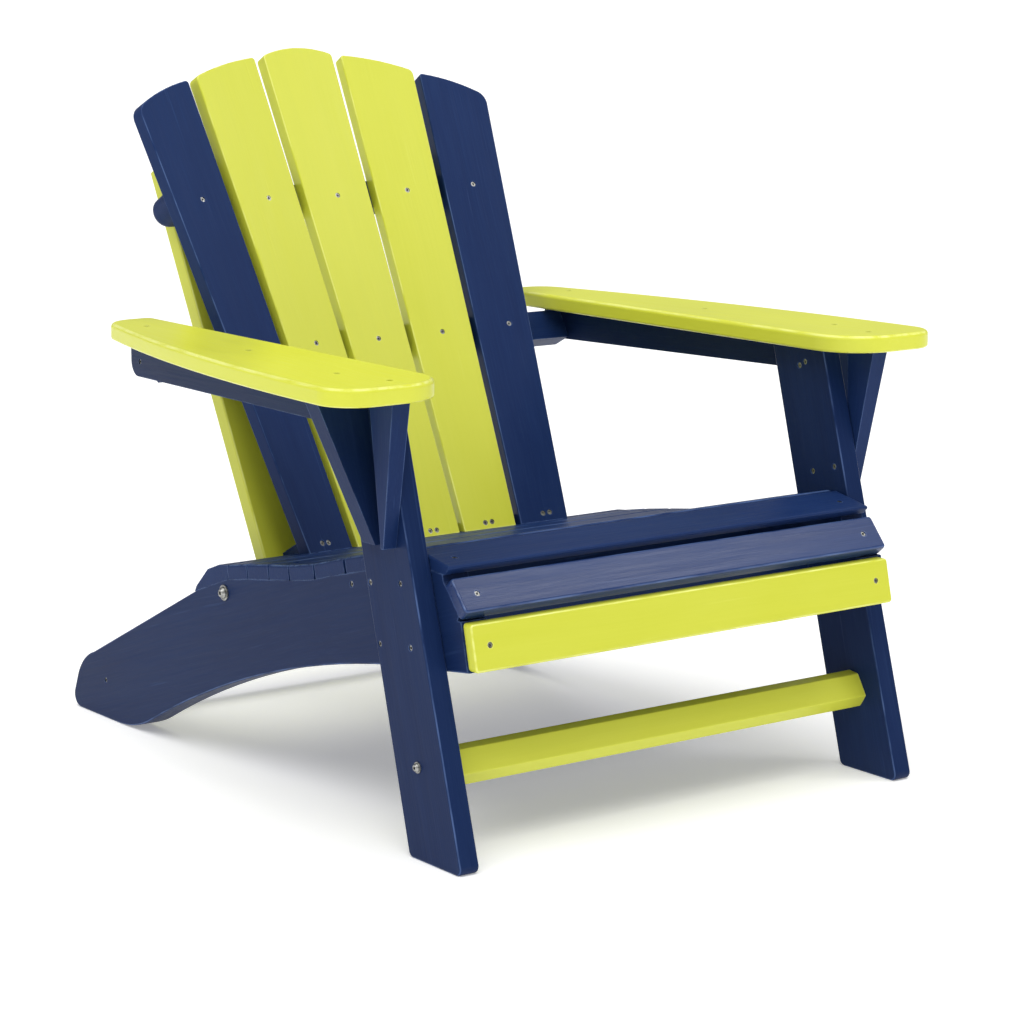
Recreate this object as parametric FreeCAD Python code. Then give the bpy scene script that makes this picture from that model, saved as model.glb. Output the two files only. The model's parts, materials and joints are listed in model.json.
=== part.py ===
# Adirondack garden chair of solid plastic lumber, screwed and bolted together.
# Millimetres, +Z up, origin on the floor under the middle of the chair.
# The chair faces -Y; the sitter's left hand is towards +X.
import FreeCAD, Part
import math
import os

from FreeCAD import Vector

os.makedirs("parts", exist_ok=True)

# ---------------------------------------------------------------- driving sizes
BOARD = 24.0              # thickness of the legs, arm rails, brackets and hidden members
RAIL_THICK = 32.0         # the two long side rails that carry the deck
SLAT_THICK = 17.0         # seat and back slats
NOSING_THICK = 13.5       # slanted slat over the knee edge
RAIL_OUT = 288.0          # half width over the side rails
SLAT_HALF = 287.5         # half length of the seat slats
LEG_OUT = RAIL_OUT + BOARD
EDGE = 2.5                # softened edges of the boards
CORNER = 4.0              # rounded end corners of the nosing slat and the apron
JOINT = 0.2               # clearance where an end butts against another board

# front leg: a board raked backwards, drawn as (y, z)
ARM_UNDER = 477.5         # height of the underside of the arms
LEG_SIDE = [(-432.5, 0), (-296.4, ARM_UNDER), (-209.0, ARM_UNDER), (-338.5, 0)]

# deck line, back to front: the (y, z) points where the undersides of the slats meet
DECK_LINE = [(131, 196), (56, 222), (13, 230), (-32, 237), (-74.5, 243.2), (-126, 253.5),
             (-186.5, 270), (-254.5, 287), (-320, 302)]
DECK_GAPS = [2.0, 2.0, 2.5, 3.0, 4.0, 4.5, 5.0]

# side rail, as (y, z): its arched lower edge, where the rear foot stands flat, and its heel
RAIL_NOSE = (-366.0, 299.3)
RAIL_ARCH = [(-370.0, 199.0), (-65.0, 141.0), (240.0, 20.0)]
RAIL_SOLE = (322.0, 416.0)
RAIL_HEEL = [(430.2, 20.0), (420.0, 44.0), (404.0, 64.0), (380.0, 77.0)]
RAIL_SHELF = 256.0        # height of the short level step between nosing and apron
RAIL_CHIN = 204.5         # height of the lower front corner, behind the apron

# deck board behind the back, and the line its feet are cut to, as (y, z)
REAR_DECK = [(57, 221.7), (131, 196), (127, 203), (101, 227), (75, 236.5), (57, 238.7)]
BACK_FOOT_LINE = [(10, 100), (10, 247.9), (57, 239.1), (75, 236.5), (101, 227), (127, 203), (200, 136),
                  (200, 100)]

# nosing slat: its outer face runs from the bottom edge to the top edge, (y, z)
NOSING_LOW = (-407.5, 267.0)
NOSING_HIGH = (-380.5, 298.0)

# front seat slat: its top face, from the undercut lip back to the next slat, as (y, z)
FRONT_SLAT_LIP = (-378.0, 308.2)
FRONT_SLAT_REAR = (-322.5, 318.7)

# apron under the nosing: its front face leans with the legs
APRON_TOP = (-411.5, 254.5)
APRON_LOW = (-422.5, 206.0)
APRON_THICK = 12.5
APRON_HALF = 285.5

# back: a plane leaning backwards; s runs up along it, n runs rearwards from its front face
BACK_LEAN = 27.58         # degrees from upright
BACK_FOOT_Y = -65.1       # where the front plane of the back would meet the floor
BACK_LOW = 258.0          # s of the lower ends of the slats before they are cut to the deck
BACK_HIGH = 850.0         # s at which the upper widths of the slats are given
# the back is hollowed: the slats beside the centre one turn towards the sitter. Each slat has
# x of its inner edge (low, high), x of its outer edge (low, high), and how far the two edges
# lie in front of the centre slat
CENTRE_SLAT = ((-36.3, -48.5), (36.3, 48.5), (0.0, 0.0))
INNER_SLAT = ((42.7, 60.9), (113.1, 155.2), (0.0, 8.0))
OUTER_SLAT = ((120.5, 165.9), (184.8, 253.0), (6.6, 16.5))
# top of each kind of slat: s of its outer corner, crown as (x, s), s of its inner corner, corner radii
CENTRE_TOP = (896.5, (0, 906), 896.5, (6.0, 6.0))
INNER_TOP = (867.5, (112, 884), 895, (9.0, 4.0))
OUTER_TOP = (826, (212, 848.5), 864.5, (19.0, 4.0))
CROSS_TALL = 37.0         # cross rails behind the slats
CROSS_DEEP = 26.5         # from the rear of the centre slat to the posts
CROSS_FRONT = -12.0       # n from which the cross rails are cut back to the hollow of the slats
UPPER_S = 713.5           # s of the middle of the upper cross rail
MIDDLE_S = 523.5          # s of the middle of the arm-level cross rail
UPPER_HALF = 236.5        # half length of the upper cross rail, hidden behind the outer slats
MIDDLE_HALF = 310.0       # the arm-level rail reaches out to the arm rails, where it is trimmed
CLEAT_HALF = 184.0        # low cleat on the deck
CLEAT_TOP = 285.0
POST_OUT = 209.0          # outer faces of the two back posts
POST_WIDE = 70.0
POST_TOP = 776.0          # s of the upper ends of the posts
POST_THICK = 22.0

# arm board, seen from above as (x, y)
ARM_THICK = 19.5
ARM_FRONT = -366.0
ARM_REAR = 273.0
ARM_INNER_FRONT = 268.0
ARM_INNER_REAR = 257.0
ARM_OUTER = [(409.0, ARM_FRONT), (382.0, -31.0), (317.0, ARM_REAR)]

# arm rail: points of its centre line under the arm, as (x, y); it is splayed to the front
ARM_RAIL_FRONT = (332.1, -243.0)
ARM_RAIL_REAR = (298.0, 226.0)
ARM_RAIL_LOW_FRONT = 444.5    # height of the lower edge at the front end
ARM_RAIL_LOW_REAR = 438.0     # and at the rear end

# arm bracket: upright board across the outer face of the leg, (y of its front face, height)
BRACKET_FRONT = [(-294.7, 322.0), (-267.4, ARM_UNDER)]
BRACKET_OUT = [(321.5, 322.0), (376.0, ARM_UNDER)]

# wing: narrow upright board in front of the bracket, beside the front edge of the leg
WING_FRONT = [(-319.0, 322.0), (-350.2, ARM_UNDER)]
WING_REAR = [(-314.5, 322.0), (-308.0, ARM_UNDER)]
WING_INNER = [(312.0, 322.0), (315.0, ARM_UNDER)]
WING_OUTER = [(328.0, 322.0), (336.5, ARM_UNDER)]

# foot bar between the front legs, drawn as (y, z)
BAR_SIDE = [(-351, 115), (-365.5, 113), (-379.5, 90), (-370, 76), (-352, 76), (-341, 97)]
BAR_BOLT = (-355.5, 99.0)

# hidden cross members between the side rails: (y of the middle, lowest z, highest z)
STRETCHER = (63.5, 146.0, 214.0)
STRETCHER_BOLT_Z = 206.0
BRACE = (-198.0, 226.0, 268.0)
FRONT_STRETCHER = (-302.0, 206.0, 264.0)
REAR_FOOT_BAR = (348.5, 28.0, 68.0)

# fasteners
SCREW_D = 4.5
HEAD_D = 6.4
HEAD_DEEP = 2.4
HEAD_SUNK = 0.9           # how far a screw head lies under the surface
PLAY = 0.1                # how much a hole is wider than its fastener, on the radius
DECK_SCREW_X = 264.5

# fastener positions; (y, z) where x is given by the face of the board
UPPER_SCREWS = (708.5, (0, 100, 195))     # s, and x on the centre, inner and outer slat
MIDDLE_SCREWS = (521.2, (0, 91, 186))
FOOT_SCREW_S = 276.0
FOOT_SCREWS = ((4.6, "back_slat_centre"), (73.4, "back_slat_inner*"), (82.6, "back_slat_inner*"),
               (154.4, "back_slat_outer*"), (163.6, "back_slat_outer*"))
POST_SCREW_INSET = (5.5, 31.0)            # from the inner edge of the post
POST_SCREW_LOW = 277.5                    # s of the lowest pair of post screws
REAR_DECK_SCREW = (65.5, 237.7)
FRONT_SLAT_SCREW_Y = -354.6
NOSING_SCREW_Y = -394.4
APRON_SCREW_Y = -416.5
LEG_SCREWS = [(-270.5, 278), (-325.5, 286), (-287.5, 216), (-343.5, 222)]
BRACE_SCREW_Y = -198.5
BRACE_SCREW_Z = 261.0
FRONT_STRETCHER_SCREW_Z = 244.0
REAR_FOOT_SCREW_Z = 48.0
BRACKET_SCREWS = [((-257, 454), 50), ((-266, 459), 50), ((-283, 335), 34)]    # spot and length
WING_SCREW = (-318.5, 345)
ARM_SCREWS = [(341, -256, "arm_bracket*"), (326, -330, "arm_wing*"), (304.5, 198.5, "arm_rail*"),
              (320, -50, "arm_rail*")]    # x, y and the board underneath
ARM_RAIL_SCREW = (203.0, 456.0)
STRETCHER_BOLT_D = 8.0
BARREL_NUT_X = 238.0
BARREL_NUT_D = 12.0

board = {}                # name of each piece and its solid
group = {}                # name of each fastener set and its list of solids


# ---------------------------------------------------------------- small helpers
def face_from(points):
    return Part.Face(Part.makePolygon(points + [points[0]]))


def side_board(outline, x_from, x_to):
    """A board seen from the side: outline in (y, z), running from x_from to x_to."""
    face = face_from([Vector(x_from, y, z) for y, z in outline])
    return face.extrude(Vector(x_to - x_from, 0, 0))


def cross_board(outline, half):
    """A board that crosses the chair, symmetric about its middle plane."""
    return side_board(outline, -half, half)


def both_sides(name, solid):
    """The sitter's left piece lies at +X, its mirror image at -X."""
    board[name + "_left"] = solid
    board[name + "_right"] = solid.mirror(Vector(0, 0, 0), Vector(1, 0, 0))


def edges_along(solid, axis):
    """The straight edges that run along an axis."""
    chosen = []
    for edge in solid.Edges:
        if edge.Curve.TypeId == "Part::GeomLine":
            if abs(edge.tangentAt(edge.FirstParameter).dot(axis)) > 0.999:
                chosen.append(edge)
    return chosen


def flat_faces(solid, normal):
    """The flat faces whose outward normal points along the given direction."""
    chosen = []
    for face in solid.Faces:
        if face.Surface.TypeId == "Part::GeomPlane":
            u0, u1, v0, v1 = face.ParameterRange
            if face.normalAt((u0 + u1) / 2, (v0 + v1) / 2).dot(normal) > 0.999:
                chosen.append(face)
    return chosen


def soften_rim(solid, normal, radius):
    """Round every edge of the faces that look along a direction."""
    rim = []
    for face in flat_faces(solid, normal):
        rim.extend(face.Edges)
    return solid.makeFillet(radius, rim)


def between(points, z):
    """First coordinate of the straight line through two points, where the second one is z."""
    (a, low), (b, high) = points
    return a + (b - a) * (z - low) / (high - low)


def back_point(x, s, n):
    """A point of the back: x sideways, s up along it, n behind its front face."""
    lean = math.radians(BACK_LEAN)
    y = BACK_FOOT_Y + s * math.sin(lean) + n * math.cos(lean)
    z = s * math.cos(lean) - n * math.sin(lean)
    return Vector(x, y, z)


def back_direction(dx, ds, dn):
    return back_point(dx, ds, dn) - back_point(0, 0, 0)


# ---------------------------------------------------------------- fasteners
def turned(profile, start, direction):
    """A turned solid; the profile lists (radius, depth) along the direction."""
    points = [Vector(radius, 0, depth) for radius, depth in profile]
    solid = face_from(points).revolve(Vector(0, 0, 0), Vector(0, 0, 1), 360)
    turn = FreeCAD.Rotation(Vector(0, 0, 1), direction)
    solid.Placement = FreeCAD.Placement(start, turn)
    return solid


def socket(start, direction, wide, deep):
    """Square driving recess of a head that starts at a point and goes in along a direction."""
    cube = Part.makeBox(wide, wide, deep + 1, Vector(-wide / 2, -wide / 2, -1))
    cube.Placement = FreeCAD.Placement(start, FreeCAD.Rotation(Vector(0, 0, 1), direction))
    return cube


def screw_solid(start, direction, length):
    """Countersunk screw; start is the point on the board's surface."""
    head = HEAD_D / 2
    shank = SCREW_D / 2
    neck = HEAD_SUNK + HEAD_DEEP
    profile = [(0, HEAD_SUNK), (head, HEAD_SUNK), (shank, neck), (shank, length - 4), (0.4, length),
               (0, length)]
    drive_deep = 2.0
    drive_at = start + direction * HEAD_SUNK
    return turned(profile, start, direction).cut(socket(drive_at, direction, 2.6, drive_deep))


def screw_hole(start, direction, length):
    head = HEAD_D / 2 + PLAY
    shank = SCREW_D / 2 + PLAY
    neck = HEAD_SUNK + HEAD_DEEP + PLAY
    deep = length + 0.3
    profile = [(0, -5), (head, -5), (head, HEAD_SUNK + PLAY), (shank, neck), (shank, deep), (0, deep)]
    return turned(profile, start, direction)


def drive_screws(set_name, points, direction, length, through):
    """Screws at several points on each side; * in a board's name stands for _left or _right."""
    for sign, side in ((1, "_left"), (-1, "_right")):
        names = [name.replace("*", side) for name in through]
        along = Vector(sign * direction[0], direction[1], direction[2]).normalize()
        for x, y, z in points:
            start = Vector(sign * x, y, z)
            group.setdefault(set_name, []).append(screw_solid(start, along, length))
            hole = screw_hole(start, along, length)
            for name in names:
                board[name] = board[name].cut(hole)


def bolt_pair(set_name, washer_name, at, head_d, head_high, washer, shank_d, length, through):
    """Button-headed bolt with a washer on each side; washer is (diameter, thickness)."""
    x, y, z = at
    washer_d, washer_thick = washer
    for sign, side in ((1, "_left"), (-1, "_right")):
        names = [name.replace("*", side) for name in through]
        inwards = Vector(-sign, 0, 0)
        seat = Vector(sign * x, y, z)
        under_head = seat - inwards * washer_thick
        top = under_head - inwards * head_high
        profile = [(0, 0), (head_d * 0.32, 0), (head_d / 2, head_high * 0.6), (head_d / 2, head_high),
                   (shank_d / 2, head_high), (shank_d / 2, head_high + length), (0, head_high + length)]
        bolt = turned(profile, top, inwards).cut(socket(top, inwards, head_d * 0.3, head_high * 0.6))
        group.setdefault(set_name, []).append(bolt)
        bore = shank_d / 2 + PLAY
        ring = [(bore, 0), (washer_d / 2, 0), (washer_d / 2, washer_thick), (bore, washer_thick)]
        group.setdefault(washer_name, []).append(turned(ring, under_head, inwards))
        hole = turned([(0, 0), (bore, 0), (bore, length), (0, length)], seat, inwards)
        for name in names:
            board[name] = board[name].cut(hole)


# ---------------------------------------------------------------- frame boards
def front_leg():
    leg = side_board(LEG_SIDE, RAIL_OUT, LEG_OUT)
    toes = [edge for edge in edges_along(leg, Vector(1, 0, 0)) if edge.CenterOfMass.z < 1]
    leg = leg.makeFillet(8.0, toes)
    leg = soften_rim(leg, Vector(1, 0, 0), EDGE)
    return soften_rim(leg, Vector(-1, 0, 0), EDGE)


def nosing_inner(distance):
    """A point of the nosing slat's inner face, a distance up from its bottom edge."""
    run = NOSING_HIGH[0] - NOSING_LOW[0]
    rise = NOSING_HIGH[1] - NOSING_LOW[1]
    tall = math.hypot(run, rise)
    y = NOSING_LOW[0] + (run * distance + rise * NOSING_THICK) / tall
    z = NOSING_LOW[1] + (rise * distance - run * NOSING_THICK) / tall
    return (y, z)


def leaning_out(low, high):
    """Direction square to a sloping face, out of the front or the top of the chair."""
    return Vector(0, low[1] - high[1], high[0] - low[0]).normalize()


def apron_rear(z):
    """y of the rear face of the apron at the height z."""
    lean = (APRON_TOP[0] - APRON_LOW[0]) / (APRON_TOP[1] - APRON_LOW[1])
    return APRON_LOW[0] + lean * (z - APRON_LOW[1]) + APRON_THICK * math.hypot(1, lean)


def side_rail():
    """Seat side rail; it runs down to the floor as the rear leg."""
    def at(point):
        return Vector(RAIL_OUT - RAIL_THICK, point[0], point[1])

    def line(a, b):
        return Part.makeLine(at(a), at(b))

    def arc(a, b, c):
        return Part.Arc(at(a), at(b), at(c)).toShape()

    def arc_off_the_floor(touch, end):
        """Arc that leaves the floor smoothly at y = touch and runs to the point end."""
        radius = ((end[0] - touch) ** 2 + end[1] ** 2) / (2 * end[1])
        centre = at((touch, radius))
        halfway = (at((touch, 0)) + at(end)) * 0.5 - centre
        halfway.normalize()
        return Part.Arc(at((touch, 0)), centre + halfway * radius, at(end)).toShape()

    upper = nosing_inner(45.0)
    lower = nosing_inner(4.0)
    top = [RAIL_HEEL[-1]] + DECK_LINE + [RAIL_NOSE, upper, lower, (lower[0] + 2.5, RAIL_SHELF)]
    top += [(apron_rear(RAIL_SHELF), RAIL_SHELF), (apron_rear(RAIL_CHIN), RAIL_CHIN), RAIL_ARCH[0]]
    toe, heel = RAIL_SOLE
    edges = [line(a, b) for a, b in zip(top, top[1:])]
    edges.append(arc(*RAIL_ARCH))
    edges.append(arc_off_the_floor(toe, RAIL_ARCH[2]))
    edges.append(line((toe, 0), (heel, 0)))
    edges.append(arc_off_the_floor(heel, RAIL_HEEL[0]))
    edges.append(line(RAIL_HEEL[0], RAIL_HEEL[1]))
    edges.append(arc(*RAIL_HEEL[1:]))
    rail = Part.Face(Part.Wire(edges)).extrude(Vector(RAIL_THICK, 0, 0))
    open_edges = []
    for edge in rail.Edges:
        middle = edge.CenterOfMass
        on_a_side = abs(edge.tangentAt(edge.FirstParameter).x) < 0.01
        below_deck = middle.z < 180 or (middle.y > 131 and middle.z < 195)
        if on_a_side and below_deck:
            open_edges.append(edge)
    return rail.makeFillet(EDGE, open_edges)


def deck_slat(rear, front, gap):
    """Seat slat on one straight stretch of the deck line; also gives the middle of its top."""
    run = front[0] - rear[0]
    rise = front[1] - rear[1]
    long = math.hypot(run, rise)
    along = Vector(0, run / long, rise / long)
    up = Vector(0, rise / long, -run / long)
    a = Vector(-SLAT_HALF, rear[0], rear[1]) + along * (gap / 2)
    b = Vector(-SLAT_HALF, front[0], front[1]) - along * (gap / 2)
    corners = [a, b, b + up * SLAT_THICK, a + up * SLAT_THICK]
    slat = face_from(corners).extrude(Vector(2 * SLAT_HALF, 0, 0))
    slat = soften_rim(slat, up, 3.5)
    middle = (a + b) * 0.5 + up * SLAT_THICK
    return slat, middle, up


def rear_deck_board():
    """Board behind the back; its top falls away to the rear."""
    slat = cross_board(REAR_DECK, SLAT_HALF)
    bends = []
    for edge in edges_along(slat, Vector(1, 0, 0)):
        if edge.CenterOfMass.y > 70 and edge.CenterOfMass.z > 200:
            bends.append(edge)
    return slat.makeFillet(3.0, bends)


def front_slat():
    """Front seat slat with an undercut front lip and a rounded rim."""
    outline = [(-322.5, 301.6), RAIL_NOSE, (-369.5, 299.3), FRONT_SLAT_LIP, FRONT_SLAT_REAR]
    slat = cross_board(outline, SLAT_HALF)
    return soften_rim(slat, leaning_out(FRONT_SLAT_LIP, FRONT_SLAT_REAR), 2.5)


def nosing_slat():
    tall = math.hypot(NOSING_HIGH[0] - NOSING_LOW[0], NOSING_HIGH[1] - NOSING_LOW[1])
    slat = cross_board([NOSING_LOW, NOSING_HIGH, nosing_inner(tall), nosing_inner(0)], RAIL_OUT)
    outward = leaning_out(NOSING_LOW, NOSING_HIGH)
    slat = slat.makeFillet(CORNER, edges_along(slat, outward))
    return soften_rim(slat, outward, 3.0)


def apron():
    outline = [APRON_TOP, APRON_LOW, (apron_rear(APRON_LOW[1]), APRON_LOW[1]),
               (apron_rear(APRON_TOP[1]), APRON_TOP[1])]
    panel = cross_board(outline, APRON_HALF)
    outward = leaning_out(APRON_LOW, APRON_TOP)
    panel = panel.makeFillet(CORNER, edges_along(panel, Vector(0, 1, 0)))
    return soften_rim(panel, outward, 3.0)


def foot_bar():
    bar = cross_board(BAR_SIDE, RAIL_OUT - JOINT)
    return bar.makeFillet(2.0, edges_along(bar, Vector(1, 0, 0)))


def cross_member(sizes):
    """Upright board between the two side rails."""
    y, low, high = sizes
    half = RAIL_OUT - RAIL_THICK - JOINT
    member = Part.makeBox(2 * half, BOARD, high - low, Vector(-half, y - BOARD / 2, low))
    return member.makeFillet(2.0, edges_along(member, Vector(1, 0, 0)))


# ---------------------------------------------------------------- back
def slat_edges(slat, s):
    """x of the inner and outer edge of a slat at a height s."""
    part = (s - BACK_LOW) / (BACK_HIGH - BACK_LOW)
    return [low + (high - low) * part for low, high in slat[:2]]


def slat_front(slat, x, s):
    """A point of a slat's front plane."""
    inner, outer = slat_edges(slat, (BACK_LOW + BACK_HIGH) / 2)
    here_inner, here_outer = slat_edges(slat, s)
    forward_inner, forward_outer = slat[2]
    slope = (forward_outer - forward_inner) / (outer - inner)
    forward = (forward_inner + forward_outer) / 2 + slope * (x - (here_inner + here_outer) / 2)
    return back_point(x, s, -forward)


def slat_inwards(slat):
    """Direction from a slat's front face to its rear face."""
    corner = slat_front(slat, 0, BACK_LOW)
    across = slat_front(slat, 100, BACK_LOW) - corner
    upwards = slat_front(slat, 0, BACK_HIGH) - corner
    inwards = upwards.cross(across)
    return inwards.normalize()


def back_slat(slat, top):
    """Tapered slat with a curved top from its outer corner over the crown to its inner corner."""
    outer_top, crown, inner_top, corner_radii = top
    inwards = slat_inwards(slat)
    inner_low, outer_low = slat_edges(slat, BACK_LOW)
    low_corners = [slat_front(slat, outer_low, BACK_LOW), slat_front(slat, inner_low, BACK_LOW)]
    outer_corner = slat_front(slat, slat_edges(slat, outer_top)[1], outer_top)
    inner_corner = slat_front(slat, slat_edges(slat, inner_top)[0], inner_top)
    edges = [Part.makeLine(low_corners[0], outer_corner),
             Part.Arc(outer_corner, slat_front(slat, crown[0], crown[1]), inner_corner).toShape(),
             Part.makeLine(inner_corner, low_corners[1]),
             Part.makeLine(low_corners[1], low_corners[0])]
    solid = Part.Face(Part.Wire(edges)).extrude(inwards * SLAT_THICK)
    for corner, radius in zip((outer_corner, inner_corner), corner_radii):
        near = []
        for edge in edges_along(solid, inwards):
            if edge.CenterOfMass.distanceToPoint(corner) < SLAT_THICK * 0.6:
                near.append(edge)
        solid = solid.makeFillet(radius, near)
    return soften_rim(solid, inwards * -1, 2.0)


def room_for_slats(s):
    """The space of the slats and in front of them round a height s; the cross rails are cut to it."""
    reach = 60.0
    beside = 7.0
    ahead = 40.0
    rooms = []
    for slat in (CENTRE_SLAT, INNER_SLAT, OUTER_SLAT):
        far = reach if slat is OUTER_SLAT else beside
        inwards = slat_inwards(slat)
        corners = []
        for here, side in ((s - reach, 0), (s - reach, 1), (s + reach, 1), (s + reach, 0)):
            x = slat_edges(slat, here)[side] + (far if side else -beside)
            corners.append(slat_front(slat, x, here) - inwards * ahead)
        room = face_from(corners).extrude(inwards * (ahead + SLAT_THICK))
        rooms.append(room)
        if slat is not CENTRE_SLAT:
            rooms.append(room.mirror(Vector(0, 0, 0), Vector(1, 0, 0)))
    return rooms


def cross_block(outline):
    """Block with an outline in (x, s) that reaches from CROSS_FRONT to the posts."""
    deep = SLAT_THICK + CROSS_DEEP - CROSS_FRONT
    face = face_from([back_point(x, s, CROSS_FRONT) for x, s in outline])
    return face.extrude(back_direction(0, 0, deep))


def cross_rail(s, half, round_ends):
    """Cross rail behind the slats: its front follows the hollow of the back, its rear is flat."""
    low = s - CROSS_TALL / 2
    high = s + CROSS_TALL / 2
    outline = [(-half, low), (half, low), (half, high), (-half, high)]
    rail = cross_block(outline)
    rear_rim = 5.0
    if round_ends:
        rail = rail.makeFillet(CROSS_TALL / 2 - 0.5, edges_along(rail, back_direction(0, 0, 1)))
        rear_rim = 9.0
    rail = soften_rim(rail, back_direction(0, 0, 1), rear_rim)
    for room in room_for_slats(s):
        rail = rail.cut(room)
    return rail


def room_under_the_arms():
    """The front of the arm-level rail steps back outside the slats, so that it fits under the arms."""
    inside = slat_edges(OUTER_SLAT, MIDDLE_S)[1] + 5.0
    outside = ARM_OUTER[0][0]
    above_the_slats = -60.0
    step = 12.0
    corners = [(inside, MIDDLE_S - CROSS_TALL), (outside, MIDDLE_S - CROSS_TALL),
               (outside, MIDDLE_S + CROSS_TALL), (inside, MIDDLE_S + CROSS_TALL)]
    face = face_from([back_point(x, s, above_the_slats) for x, s in corners])
    room = face.extrude(back_direction(0, 0, step - above_the_slats))
    return [room, room.mirror(Vector(0, 0, 0), Vector(1, 0, 0))]


def lower_cleat():
    """Low cleat on the deck behind the feet of the slats."""
    low = BACK_LOW - 10
    cleat = cross_block([(-CLEAT_HALF, low), (CLEAT_HALF, low), (CLEAT_HALF, CLEAT_TOP),
                         (-CLEAT_HALF, CLEAT_TOP)])
    for room in room_for_slats((BACK_LOW + CLEAT_TOP) / 2):
        cleat = cleat.cut(room)
    return cleat


def back_post():
    front = SLAT_THICK + CROSS_DEEP
    low = BACK_LOW - 30
    inner = POST_OUT - POST_WIDE
    outline = [(inner, low), (POST_OUT, low), (POST_OUT, POST_TOP), (inner, POST_TOP)]
    face = face_from([back_point(x, s, front) for x, s in outline])
    post = face.extrude(back_direction(0, 0, POST_THICK))
    post = soften_rim(post, back_direction(0, 0, 1), EDGE)
    return soften_rim(post, back_direction(0, 0, -1), EDGE)


def under_the_back():
    """Everything below the top of the rear deck board; the feet of the back are cut to it."""
    return cross_board(BACK_FOOT_LINE, LEG_OUT)


# ---------------------------------------------------------------- arms
def arm_board():
    def at(point):
        return Vector(point[0], point[1], ARM_UNDER)

    inner_rear = (ARM_INNER_REAR, ARM_REAR)
    inner_front = (ARM_INNER_FRONT, ARM_FRONT)
    outer_front, outer_middle, outer_rear = ARM_OUTER
    edges = [Part.makeLine(at(inner_rear), at(inner_front)),
             Part.makeLine(at(inner_front), at(outer_front)),
             Part.Arc(at(outer_front), at(outer_middle), at(outer_rear)).toShape(),
             Part.makeLine(at(outer_rear), at(inner_rear))]
    arm = Part.Face(Part.Wire(edges)).extrude(Vector(0, 0, ARM_THICK))
    corner_radii = [(inner_rear, 12.0), (inner_front, 62.0), (outer_front, 42.0), (outer_rear, 40.0)]
    for corner, radius in corner_radii:
        near = []
        for edge in edges_along(arm, Vector(0, 0, 1)):
            middle = edge.CenterOfMass
            if math.hypot(middle.x - corner[0], middle.y - corner[1]) < 0.5:
                near.append(edge)
        arm = arm.makeFillet(radius, near)
    arm = soften_rim(arm, Vector(0, 0, 1), 5.0)
    return soften_rim(arm, Vector(0, 0, -1), 3.0)


def arm_rail_across():
    """Half of the arm rail's thickness as a vector pointing outwards."""
    run = Vector(ARM_RAIL_REAR[0] - ARM_RAIL_FRONT[0], ARM_RAIL_REAR[1] - ARM_RAIL_FRONT[1], 0)
    return Vector(run.y, -run.x, 0).normalize() * (BOARD / 2)


def arm_rail():
    """Rail on edge under the arm, its lower rear corner rounded off."""
    across = arm_rail_across()
    front = Vector(ARM_RAIL_FRONT[0], ARM_RAIL_FRONT[1], 0) - across
    rear = Vector(ARM_RAIL_REAR[0], ARM_RAIL_REAR[1], 0) - across
    corners = [front + Vector(0, 0, ARM_RAIL_LOW_FRONT), rear + Vector(0, 0, ARM_RAIL_LOW_REAR),
               rear + Vector(0, 0, ARM_UNDER), front + Vector(0, 0, ARM_UNDER)]
    rail = face_from(corners).extrude(across * 2)
    heel = [edge for edge in edges_along(rail, across.normalize())
            if edge.CenterOfMass.y > 0 and edge.CenterOfMass.z < ARM_UNDER - 5]
    return rail.makeFillet(17.0, heel)


def beyond_arm_rail():
    """Space outwards of the arm rail's inner face."""
    across = arm_rail_across()
    front = Vector(ARM_RAIL_FRONT[0], ARM_RAIL_FRONT[1], 300) - across * 0.98
    rear = Vector(ARM_RAIL_REAR[0], ARM_RAIL_REAR[1], 300) - across * 1.02
    wide = across * 10
    return face_from([front, rear, rear + wide, front + wide]).extrude(Vector(0, 0, 300))


def arm_bracket():
    """Upright board across the outer face of the leg, wide under the arm."""
    (front_low, low), (front_high, high) = BRACKET_FRONT
    points = [Vector(LEG_OUT, front_low, low), Vector(BRACKET_OUT[0][0], front_low, low),
              Vector(BRACKET_OUT[1][0], front_high, high), Vector(LEG_OUT, front_high, high)]
    return face_from(points).extrude(Vector(0, BOARD, 0))


def arm_wing():
    """Narrow upright board beside the leg's front edge, reaching forward under the arm."""
    sections = []
    for end in (0, 1):
        z = WING_FRONT[end][1]
        corners = [(WING_INNER[end][0], WING_FRONT[end][0]), (WING_OUTER[end][0], WING_FRONT[end][0]),
                   (WING_OUTER[end][0], WING_REAR[end][0]), (WING_INNER[end][0], WING_REAR[end][0])]
        points = [Vector(x, y, z) for x, y in corners]
        sections.append(Part.makePolygon(points + [points[0]]))
    return Part.makeLoft(sections, True, True)


# ---------------------------------------------------------------- boards in place
both_sides("front_leg", front_leg())
both_sides("side_rail", side_rail())
both_sides("arm", arm_board())
both_sides("arm_rail", arm_rail())
both_sides("arm_bracket", arm_bracket())
both_sides("arm_wing", arm_wing())

deck_screws = []
for number, gap in enumerate(DECK_GAPS):
    name = "seat_slat_%d" % (len(DECK_GAPS) + 2 - number)
    board[name], middle, up = deck_slat(DECK_LINE[number + 1], DECK_LINE[number + 2], gap)
    deck_screws.append((name, (DECK_SCREW_X, middle.y, middle.z), (0, -up.y, -up.z)))
board["seat_slat_2_front"] = front_slat()
board["seat_slat_1_nosing"] = nosing_slat()
board["rear_deck_board"] = rear_deck_board()
board["front_apron"] = apron()
board["foot_bar"] = foot_bar()
board["rear_stretcher"] = cross_member(STRETCHER)
board["seat_brace"] = cross_member(BRACE)
board["front_stretcher"] = cross_member(FRONT_STRETCHER)
board["rear_foot_bar"] = cross_member(REAR_FOOT_BAR)

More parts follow.
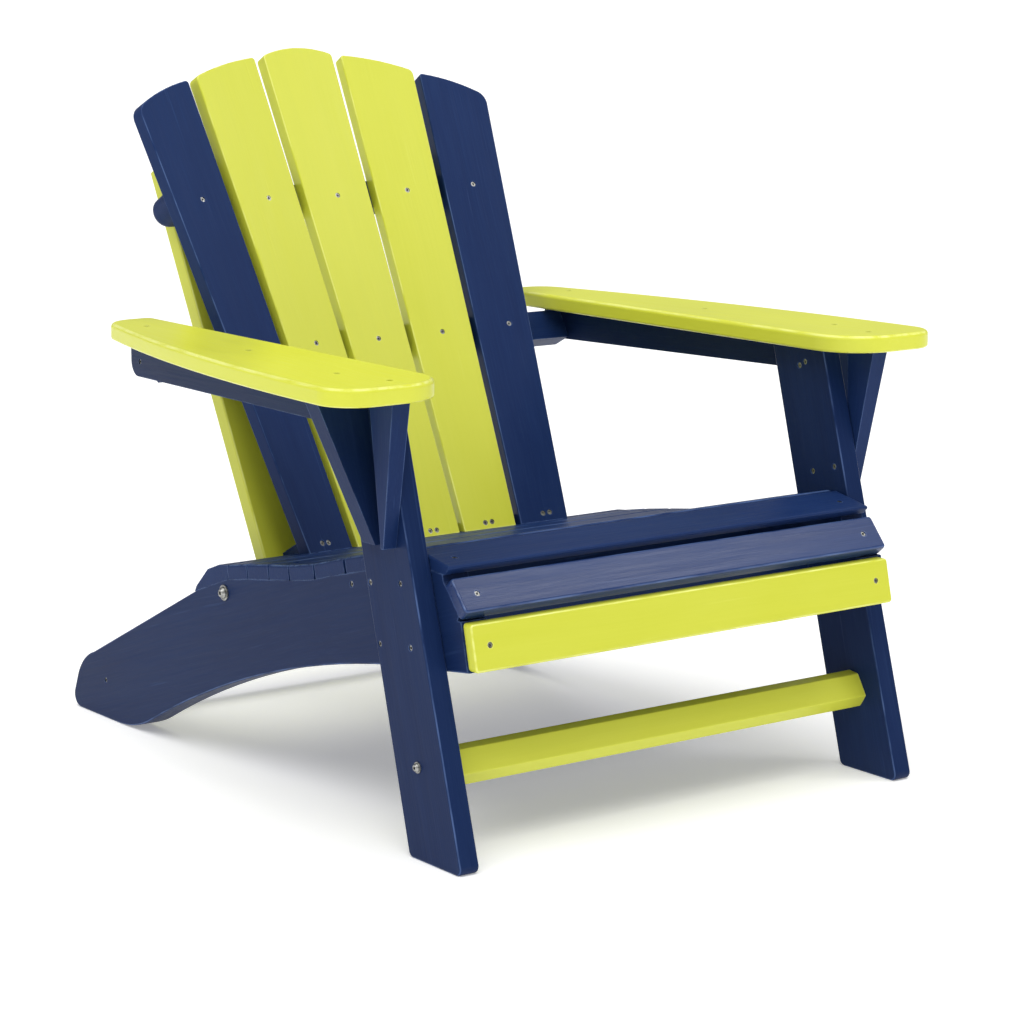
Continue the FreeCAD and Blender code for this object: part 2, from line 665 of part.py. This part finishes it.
board["back_slat_centre"] = back_slat(CENTRE_SLAT, CENTRE_TOP)
both_sides("back_slat_inner", back_slat(INNER_SLAT, INNER_TOP))
both_sides("back_slat_outer", back_slat(OUTER_SLAT, OUTER_TOP))
board["upper_cross_rail"] = cross_rail(UPPER_S, UPPER_HALF, True)
middle_rail = cross_rail(MIDDLE_S, MIDDLE_HALF, False)
for room in room_under_the_arms():
    middle_rail = middle_rail.cut(room)
outside = beyond_arm_rail()
board["arm_level_cross_rail"] = middle_rail.cut(outside).cut(outside.mirror(Vector(0, 0, 0), Vector(1, 0, 0)))
board["lower_cleat"] = lower_cleat()
both_sides("back_post", back_post())
below = under_the_back()
for name in list(board):
    if name.startswith("back_") or name == "lower_cleat":
        board[name] = board[name].cut(below)

# ---------------------------------------------------------------- screws and bolts
# back slats onto the three rails behind them
slats = {"back_slat_centre": CENTRE_SLAT, "back_slat_inner*": INNER_SLAT, "back_slat_outer*": OUTER_SLAT}
for (s, offsets), rail in ((UPPER_SCREWS, "upper_cross_rail"), (MIDDLE_SCREWS, "arm_level_cross_rail")):
    for offset, name in zip(offsets, slats):
        spot = slat_front(slats[name], offset, s)
        inwards = slat_inwards(slats[name])
        if offset:
            drive_screws("back_slat_screws", [spot], inwards, 38, [name, rail])
        else:
            group.setdefault("back_slat_screws", []).append(screw_solid(spot, inwards, 38))
            hole = screw_hole(spot, inwards, 38)
            board[name] = board[name].cut(hole)
            board[rail] = board[rail].cut(hole)
for offset, name in FOOT_SCREWS:
    spot = slat_front(slats[name], offset, FOOT_SCREW_S)
    drive_screws("back_slat_screws", [spot], slat_inwards(slats[name]), 36, [name, "lower_cleat"])

# posts onto the same rails, from behind
post_back = SLAT_THICK + CROSS_DEEP + POST_THICK
out_of_back = back_direction(0, 0, -1)
for s, rail in ((UPPER_S, "upper_cross_rail"), (MIDDLE_S, "arm_level_cross_rail"),
                (POST_SCREW_LOW, "lower_cleat")):
    spots = [back_point(POST_OUT - POST_WIDE + inset, s, post_back) for inset in POST_SCREW_INSET]
    drive_screws("post_screws", spots, out_of_back, 42, ["back_post*", rail])

# deck
for name, spot, inwards in deck_screws:
    drive_screws("seat_slat_screws", [spot], inwards, 40, [name, "side_rail*"])
drive_screws("seat_slat_screws", [(DECK_SCREW_X, REAR_DECK_SCREW[0], REAR_DECK_SCREW[1])], (0, 0, -1), 24,
             ["rear_deck_board", "side_rail*"])
for screws, name, low, high, y, length in (
        ("seat_slat_screws", "seat_slat_2_front", FRONT_SLAT_LIP, FRONT_SLAT_REAR, FRONT_SLAT_SCREW_Y, 40),
        ("seat_slat_screws", "seat_slat_1_nosing", NOSING_LOW, NOSING_HIGH, NOSING_SCREW_Y, 38),
        ("apron_screws", "front_apron", APRON_LOW, APRON_TOP, APRON_SCREW_Y, 45)):
    spot = (DECK_SCREW_X, y, low[1] + (high[1] - low[1]) * (y - low[0]) / (high[0] - low[0]))
    drive_screws(screws, [spot], leaning_out(low, high) * -1, length, [name, "side_rail*"])

# legs onto the side rails
leg_spots = [(LEG_OUT, y, z) for y, z in LEG_SCREWS]
drive_screws("leg_screws", leg_spots, (-1, 0, 0), 42, ["front_leg*", "side_rail*"])

# cross members between the side rails
for member, y, z in (("seat_brace", BRACE_SCREW_Y, BRACE_SCREW_Z),
                     ("front_stretcher", FRONT_STRETCHER[0], FRONT_STRETCHER_SCREW_Z),
                     ("rear_foot_bar", REAR_FOOT_BAR[0], REAR_FOOT_SCREW_Z)):
    drive_screws("cross_member_screws", [(RAIL_OUT, y, z)], (-1, 0, 0), 65, ["side_rail*", member])

# brackets and wings, from the inner faces of the legs
for (y, z), length in BRACKET_SCREWS:
    drive_screws("bracket_screws", [(RAIL_OUT, y, z)], (1, 0, 0), length, ["front_leg*", "arm_bracket*"])
drive_screws("wing_screws", [(RAIL_OUT, WING_SCREW[0], WING_SCREW[1])], (1, 0, 0), 36,
             ["front_leg*", "arm_wing*"])

# arms onto brackets, wings and rails
for x, y, under in ARM_SCREWS:
    drive_screws("arm_screws", [(x, y, ARM_UNDER + ARM_THICK)], (0, 0, -1), 45, ["arm*", under])

# arm rails onto the ends of the arm-level cross rail
outwards = arm_rail_across()
end_y, end_z = ARM_RAIL_SCREW
end_x = between([(ARM_RAIL_FRONT[0], ARM_RAIL_FRONT[1]), (ARM_RAIL_REAR[0], ARM_RAIL_REAR[1])], end_y)
end_spot = Vector(end_x, end_y, end_z) + outwards
drive_screws("arm_rail_screws", [end_spot], outwards * -1, 60, ["arm_rail*", "arm_level_cross_rail"])

# bolts: foot bar, and rear stretcher with barrel nuts
bolt_pair("foot_bar_bolts", "foot_bar_washers", (LEG_OUT, BAR_BOLT[0], BAR_BOLT[1]), 9.5, 3.3,
          (12.0, 1.2), 6.0, 68.0, ["front_leg*", "foot_bar"])
bolt_pair("stretcher_bolts", "stretcher_washers", (RAIL_OUT, STRETCHER[0], STRETCHER_BOLT_Z), 13.0, 4.5,
          (18.0, 1.6), STRETCHER_BOLT_D, 62.0, ["side_rail*", "rear_stretcher"])
rearwards = Vector(0, 1, 0)
for sign in (1, -1):
    start = Vector(sign * BARREL_NUT_X, STRETCHER[0] - BOARD / 2, STRETCHER_BOLT_Z)
    nut = Part.makeCylinder(BARREL_NUT_D / 2, BOARD, start, rearwards)
    pocket = Part.makeCylinder(BARREL_NUT_D / 2 + PLAY, BOARD + 2, start - rearwards, rearwards)
    thread_at = Vector(sign * BARREL_NUT_X - BARREL_NUT_D, STRETCHER[0], STRETCHER_BOLT_Z)
    thread = Part.makeCylinder(STRETCHER_BOLT_D / 2 + PLAY, 2 * BARREL_NUT_D, thread_at, Vector(1, 0, 0))
    board["rear_stretcher"] = board["rear_stretcher"].cut(pocket)
    group.setdefault("stretcher_barrel_nuts", []).append(nut.cut(thread))

# ---------------------------------------------------------------- one file per piece
for name, solid in board.items():
    solid.exportStep("parts/" + name + ".step")
for name, solids in group.items():
    Part.makeCompound(solids).exportStep("parts/" + name + ".step")
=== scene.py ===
"""Visual model of the lime and navy Adirondack chair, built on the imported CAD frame."""
import json
import math

import bpy
import numpy as np
from mathutils import Matrix, Vector

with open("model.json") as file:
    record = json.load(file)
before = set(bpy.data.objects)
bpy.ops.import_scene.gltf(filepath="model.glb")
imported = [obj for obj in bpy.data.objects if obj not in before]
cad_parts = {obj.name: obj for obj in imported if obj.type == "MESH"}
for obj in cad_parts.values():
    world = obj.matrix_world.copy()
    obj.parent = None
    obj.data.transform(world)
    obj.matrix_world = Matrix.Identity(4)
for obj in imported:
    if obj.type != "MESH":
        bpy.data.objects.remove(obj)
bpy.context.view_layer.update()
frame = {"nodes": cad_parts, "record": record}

# ---------------------------------------------------------------- camera
# it stands in front of the chair on the -X side, a little above
CAMERA_AT = (-1.9932, -2.8038, 0.9229)
CAMERA_YAW = 36.334         # degrees to the right of straight along +Y
CAMERA_DOWN = 10.645        # degrees below the horizon
LENS_MM = 105.5
SENSOR_MM = 36.0
SEES_AS_FAR_AS = 500.0

# ---------------------------------------------------------------- light
WORLD_STRENGTH = 0.36
SUN_STRENGTH = 2.3
SUN_SPREAD = 65.0           # degrees; wide, for soft shadows
SUN_DIRECTION = (0.25, 0.14, -0.958)
KEY_AT = (-1.6, -2.6, 2.6)
KEY_AIM = (0.0, 0.0, 0.45)
KEY_SIDE = 1.2
KEY_WATTS = 7.0
GLOSS_AT = (1.75, -1.30, 2.6)
GLOSS_AIM = (0.0, -0.30, 0.35)
GLOSS_SIDE = 0.9
GLOSS_WATTS = 12.0

# ---------------------------------------------------------------- floor
FLOOR_HALF = 150.0
FLOOR = (0.93, 0.93, 0.93)
FLOOR_SPECK = (0.90, 0.90, 0.90)
FLOOR_GLOW = 0.28           # lifts the floor to the plain white of a studio sweep

# ---------------------------------------------------------------- colours, linear
# lumber: plain, in the dark grain, in the pale grain, and a painted highlight on the rims
LIME_COLOURS = ((0.715, 0.745, 0.058), (0.610, 0.665, 0.034), (0.780, 0.815, 0.115),
                (0.900, 0.930, 0.300))
NAVY_COLOURS = ((0.0100, 0.0280, 0.1060), (0.0060, 0.0180, 0.0760), (0.0270, 0.0580, 0.1700),
                (0.0900, 0.1500, 0.3300))
STEEL = (0.42, 0.42, 0.40)
STEEL_DARK = (0.16, 0.16, 0.16)

# boards of one colour get painted shade or sheen: a factor multiplies all colours but that of the painted rim
# highlight
FRAME_BOARDS = ("front_leg", "side_rail", "arm_rail", "arm_bracket")
# legs, side rails, arm rails and brackets darkened as a whole: painted shade
FRAME_PAINTED_SHADE = 0.80
NOSING = "seat_slat_1_nosing"
# the nosing lightened: painted sheen
NOSING_PAINTED_SHEEN = 1.30
ARMS = ("arm_left", "arm_right")
LIME_PAINTED_SHADE = 0.915           # the lime boards other than the arms, darker than the lit arm tops: painted shade

# ---------------------------------------------------------------- surface of the lumber
# features per metre along and across the grain
BROAD_GRAIN = (2.2, 55.0)
FINE_GRAIN = (7.0, 330.0)
HAIR_GRAIN = (14.0, 900.0)
SCRATCH_GRAIN = (3.2, 210.0)
GRAIN_WANDER = 0.010        # metres
CLOUD_ROUGH = 0.16          # how much the roughness follows the clouds
SCRATCH_DEEP = 0.25         # depth of a scratch, as a part of the grain's height
RIM_REACH = 0.0022          # how far a worn rim reaches from its edge, metres

LIME_LOOK = dict(grain_dark=0.26, cloud=0.28, hair=0.10, scratch=0.25, rim=0.70, rough=0.36,
                 rough_grain=0.22, rim_polish=0.12, bump=0.00022, specular=0.36)
NAVY_LOOK = dict(grain_dark=0.55, cloud=0.22, hair=0.20, scratch=0.50, rim=0.75, rough=0.40,
                 rough_grain=0.30, rim_polish=0.10, bump=0.00034, specular=0.09)
NOSING_LOOK = dict(NAVY_LOOK, rough=0.34, specular=0.42)       # worn smooth by legs and hands

# boards whose rounded rims get a painted highlight, by the start of their names, but not the front slat:
# its undercut lip slopes as a rounded rim does, and would take the painted highlight all over
ROUNDED = ("arm_left", "arm_right", "back_slat", "back_post", "seat_slat", "front_apron",
           "front_leg", "side_rail")
LIPPED = "seat_slat_2_front"

SLOT_OF = {row["node"]: row["material_slot"] for row in frame["record"]["subparts"]}


# ---------------------------------------------------------------- node helpers
class Nodes:
    """Adds shader nodes to one material and links them."""

    def __init__(self, name):
        self.material = bpy.data.materials.new(name)
        self.material.use_nodes = True
        self.tree = self.material.node_tree
        self.tree.nodes.clear()
        self.out = self.tree.nodes.new("ShaderNodeOutputMaterial")

    def add(self, kind, inputs=None, **settings):
        node = self.tree.nodes.new(kind)
        for key, value in settings.items():
            setattr(node, key, value)
        for key, value in (inputs or {}).items():
            if isinstance(value, bpy.types.NodeSocket):
                self.tree.links.new(value, node.inputs[key])
            else:
                node.inputs[key].default_value = value
        return node

    def math(self, operation, first, second=0.0, clamp=False):
        node = self.add("ShaderNodeMath", {0: first, 1: second}, operation=operation, use_clamp=clamp)
        return node.outputs[0]

    def plus(self, first, second):
        return self.math("ADD", first, second)

    def minus(self, first, second, clamp=False):
        return self.math("SUBTRACT", first, second, clamp)

    def times(self, first, second):
        return self.math("MULTIPLY", first, second)

    def vector(self, operation, first, second):
        return self.add("ShaderNodeVectorMath", {0: first, 1: second}, operation=operation).outputs[0]

    def dot(self, first, second):
        node = self.add("ShaderNodeVectorMath", {0: first, 1: second}, operation="DOT_PRODUCT")
        return node.outputs["Value"]

    def noise(self, vector, scale, detail=2.0, rough=0.5):
        """Noise whose scale is in features per metre, from 0 to 1."""
        node = self.add("ShaderNodeTexNoise", {"Vector": vector, "Scale": scale, "Detail": detail,
                                               "Roughness": rough})
        return node.outputs["Fac"]

    def remap(self, value, low, high, to_low=0.0, to_high=1.0, smooth=False):
        node = self.add("ShaderNodeMapRange", {"Value": value, "From Min": low, "From Max": high,
                                               "To Min": to_low, "To Max": to_high})
        node.interpolation_type = "SMOOTHSTEP" if smooth else "LINEAR"
        return node.outputs["Result"]

    def mix(self, factor, first, second):
        node = self.add("ShaderNodeMix", {"Factor": factor}, data_type="RGBA")
        for socket, value in ((node.inputs[6], first), (node.inputs[7], second)):
            if isinstance(value, bpy.types.NodeSocket):
                self.tree.links.new(value, socket)
            else:
                socket.default_value = (*value, 1.0)
        return node.outputs[2]

    def finish(self, shader):
        self.tree.links.new(shader.outputs[0], self.out.inputs["Surface"])
        return self.material


# ---------------------------------------------------------------- plastic lumber
def board_axes(piece):
    """Rotation from the chair's axes to the board's own: x along its length, z through its thickness."""
    points = np.array([tuple(v.co) for v in piece.data.vertices])
    centre = (points.min(axis=0) + points.max(axis=0)) / 2
    spread = points - points.mean(axis=0)
    _, _, rows = np.linalg.svd(spread, full_matrices=False)
    along, across, through = (Vector(row) for row in rows)
    if along[int(np.argmax(np.abs(rows[0])))] < 0:
        along = -along
    through = along.cross(across).normalized()
    return Matrix((along, across, through)), Vector(centre)


def board_place(nodes, turn, centre):
    """Place on the board, with x along its length, shifted so that no two boards have the same grain."""
    place = nodes.add("ShaderNodeTexCoord").outputs["Object"]
    from_centre = nodes.vector("ADD", place, tuple(-c for c in centre))
    local = nodes.add("ShaderNodeMapping", {"Vector": from_centre, "Rotation": turn.to_euler()},
                      vector_type="POINT")
    offset = [3.1 * centre.x + 0.7 * centre.z, 5.3 * centre.y + 2.9 * centre.x, 4.7 * centre.z]
    return nodes.vector("ADD", local.outputs[0], offset)


def rim_mask(nodes, through, rounded):
    """1 on the rims of a board and 0 on its faces; it places the painted rim highlight and the lower
    roughness of the rims.
    """
    # a wide bevel turns the normal away from the flat face beside a sharp edge
    bevel = nodes.add("ShaderNodeBevel", {"Radius": RIM_REACH}, samples=6).outputs[0]
    true = nodes.add("ShaderNodeNewGeometry").outputs["Normal"]
    rim = nodes.remap(nodes.dot(bevel, true), 0.993, 0.90, smooth=True)
    if rounded:
        # a rounded rim lies between a broad face and an edge of the board
        tilt = nodes.math("ABSOLUTE", nodes.dot(true, tuple(through)))
        off_face = nodes.remap(tilt, 0.975, 0.90, smooth=True)
        off_edge = nodes.remap(tilt, 0.40, 0.62, smooth=True)
        rim = nodes.math("MAXIMUM", rim, nodes.times(off_face, off_edge))
    return rim


def shade(colour, painted_light):
    return tuple(channel * painted_light for channel in colour)


def lumber(name, piece, colours, painted_light, look, rounded):
    """Solid plastic lumber with a brushed, wood-like grain along the board."""
    nodes = Nodes(name)
    # the painted shade or sheen scales the plain and grain colours
    base, deep, pale = (shade(colour, painted_light) for colour in colours[:3])
    # the last colour is a painted highlight for the rims
    rim_highlight_colour = colours[3]
    turn, centre = board_axes(piece)
    place = board_place(nodes, turn, centre)

    def patches(across, scale, detail):
        """Broad soft patches, longer along the board than across it."""
        return nodes.noise(nodes.vector("MULTIPLY", place, (1.0, across, across)), scale, detail)

    # the grain wanders a little instead of running dead straight
    drift = nodes.times(nodes.minus(patches(1.0, 5.0, 1.0), 0.5), GRAIN_WANDER)
    sideways = nodes.add("ShaderNodeCombineXYZ", {"Y": drift, "Z": drift}).outputs[0]
    bent = nodes.vector("ADD", place, sideways)

    def grain(size, detail=2.0):
        along, across = size
        return nodes.noise(nodes.vector("MULTIPLY", bent, (along, across, across)), 1.0, detail, 0.6)

    broad = grain(BROAD_GRAIN)
    fine = grain(FINE_GRAIN, 3.0)
    hair = grain(HAIR_GRAIN)
    cloud = patches(2.5, 4.0, 3.0)

    # scattered pale scratches that run with the grain
    streak = nodes.remap(grain(SCRATCH_GRAIN, 1.0), 0.66, 0.74, smooth=True)
    streak_place = nodes.remap(patches(3.0, 9.0, 1.0), 0.50, 0.62, smooth=True)
    scratches = nodes.times(streak, streak_place)

    rim = rim_mask(nodes, turn[2], rounded)
    # the painted rim highlight is broken up in patches
    broken_rim_highlight = nodes.times(rim, nodes.remap(patches(4.0, 22.0, 3.0), 0.35, 0.6))

    lightness = nodes.remap(nodes.plus(nodes.times(broad, 0.55), nodes.times(fine, 0.45)), 0.32, 0.68)
    colour = nodes.mix(nodes.times(nodes.minus(1.0, lightness), look["grain_dark"]), base, deep)
    colour = nodes.mix(nodes.times(nodes.remap(cloud, 0.35, 0.7), look["cloud"]), colour, pale)
    colour = nodes.mix(nodes.times(nodes.remap(hair, 0.52, 0.72), look["hair"]), colour, pale)
    colour = nodes.mix(nodes.times(scratches, look["scratch"]), colour, pale)
    # painted highlight along the rims
    colour = nodes.mix(nodes.times(broken_rim_highlight, look["rim"]), colour, rim_highlight_colour)

    rough = nodes.plus(look["rough"], nodes.times(nodes.minus(fine, 0.5), look["rough_grain"]))
    rough = nodes.plus(rough, nodes.times(nodes.minus(cloud, 0.5), CLOUD_ROUGH))
    rough = nodes.minus(rough, nodes.times(rim, look["rim_polish"]), clamp=True)

    height = nodes.plus(nodes.times(broad, 0.35), nodes.plus(nodes.times(fine, 0.45), nodes.times(hair, 0.2)))
    height = nodes.minus(height, nodes.times(scratches, SCRATCH_DEEP))
    bump = nodes.add("ShaderNodeBump", {"Height": height, "Distance": look["bump"], "Strength": 1.0})
    shader = nodes.add("ShaderNodeBsdfPrincipled",
                       {"Base Color": colour, "Roughness": rough, "Normal": bump.outputs[0],
                        "IOR": 1.49, "Specular IOR Level": look["specular"]})
    return nodes.finish(shader)


def painted_light_of(node):
    """Painted shade or sheen of one board, as a factor on the plain colour of its lumber."""
    if node.startswith(FRAME_BOARDS):
        return FRAME_PAINTED_SHADE
    if node == NOSING:
        return NOSING_PAINTED_SHEEN
    if SLOT_OF[node] == "lime_lumber" and node not in ARMS:
        return LIME_PAINTED_SHADE
    return 1.0


def board_finish(node, piece):
    rounded = node.startswith(ROUNDED) and node != LIPPED
    if SLOT_OF[node] == "lime_lumber":
        return lumber("lime_" + node, piece, LIME_COLOURS, painted_light_of(node), LIME_LOOK, rounded)
    look = NOSING_LOOK if node == NOSING else NAVY_LOOK
    return lumber("navy_" + node, piece, NAVY_COLOURS, painted_light_of(node), look, rounded)


# ---------------------------------------------------------------- stainless steel
def steel(name):
    """Stainless screw and bolt heads, turned and slightly dulled."""
    nodes = Nodes(name)
    place = nodes.add("ShaderNodeTexCoord").outputs["Object"]
    fine = nodes.noise(place, 900.0, 2.0)
    broad = nodes.noise(place, 140.0, 3.0)
    colour = nodes.mix(nodes.remap(broad, 0.35, 0.7), STEEL, STEEL_DARK)
    rough = nodes.plus(0.20, nodes.times(fine, 0.30))
    bump = nodes.add("ShaderNodeBump", {"Height": fine, "Distance": 0.00006, "Strength": 1.0})
    return nodes.finish(nodes.add("ShaderNodeBsdfPrincipled",
                                  {"Base Color": colour, "Roughness": rough, "Metallic": 1.0,
                                   "Normal": bump.outputs[0]}))


steel_finish = steel("stainless_steel")
for node, piece in frame["nodes"].items():
    finish = steel_finish if SLOT_OF[node] == "stainless" else board_finish(node, piece)
    piece.data.materials.clear()
    piece.data.materials.append(finish)


# ---------------------------------------------------------------- floor and light
def floor():
    corners = [(-FLOOR_HALF, -FLOOR_HALF, 0), (FLOOR_HALF, -FLOOR_HALF, 0),
               (FLOOR_HALF, FLOOR_HALF, 0), (-FLOOR_HALF, FLOOR_HALF, 0)]
    mesh = bpy.data.meshes.new("studio_floor")
    mesh.from_pydata(corners, [], [(0, 1, 2, 3)])
    piece = bpy.data.objects.new("studio_floor", mesh)
    bpy.context.scene.collection.objects.link(piece)
    nodes = Nodes("studio_floor")
    speck = nodes.noise(nodes.add("ShaderNodeTexCoord").outputs["Object"], 3.0, 2.0)
    colour = nodes.mix(nodes.remap(speck, 0.3, 0.7, 0.0, 0.02), FLOOR, FLOOR_SPECK)
    mesh.materials.append(nodes.finish(nodes.add("ShaderNodeBsdfPrincipled", {
        "Base Color": colour, "Roughness": 0.85, "Specular IOR Level": 0.1,
        "Emission Color": (1.0, 1.0, 1.0, 1.0), "Emission Strength": FLOOR_GLOW})))


def lamp(name, kind, strength):
    """Light of one kind, and the object that carries it."""
    light = bpy.data.lights.new(name, kind)
    light.energy = strength
    carrier = bpy.data.objects.new(name, light)
    bpy.context.scene.collection.objects.link(carrier)
    return light, carrier


def point_along(carrier, direction):
    carrier.rotation_euler = direction.to_track_quat("-Z", "Y").to_euler()


def softbox(name, at, aim, side, watts):
    """Square area light."""
    light, carrier = lamp(name, "AREA", watts)
    light.shape = "RECTANGLE"
    light.size = side
    light.size_y = side
    carrier.location = at
    point_along(carrier, Vector(aim) - Vector(at))


floor()
sun, sun_carrier = lamp("overhead_light", "SUN", SUN_STRENGTH)
sun.angle = math.radians(SUN_SPREAD)
point_along(sun_carrier, Vector(SUN_DIRECTION))
softbox("key_light", KEY_AT, KEY_AIM, KEY_SIDE, KEY_WATTS)
softbox("gloss_light", GLOSS_AT, GLOSS_AIM, GLOSS_SIDE, GLOSS_WATTS)

world = bpy.data.worlds.new("studio")
world.use_nodes = True
background = world.node_tree.nodes["Background"]
background.inputs["Color"].default_value = (1.0, 1.0, 1.0, 1.0)
background.inputs["Strength"].default_value = WORLD_STRENGTH
bpy.context.scene.world = world
bpy.context.scene.view_settings.view_transform = "Standard"

# ---------------------------------------------------------------- camera
lens = bpy.data.cameras.new("camera")
lens.lens = LENS_MM
lens.sensor_width = SENSOR_MM
lens.clip_end = SEES_AS_FAR_AS
camera = bpy.data.objects.new("camera", lens)
bpy.context.scene.collection.objects.link(camera)
camera.location = CAMERA_AT
camera.rotation_euler = (math.radians(90.0 - CAMERA_DOWN), 0.0, -math.radians(CAMERA_YAW))
bpy.context.scene.camera = camera
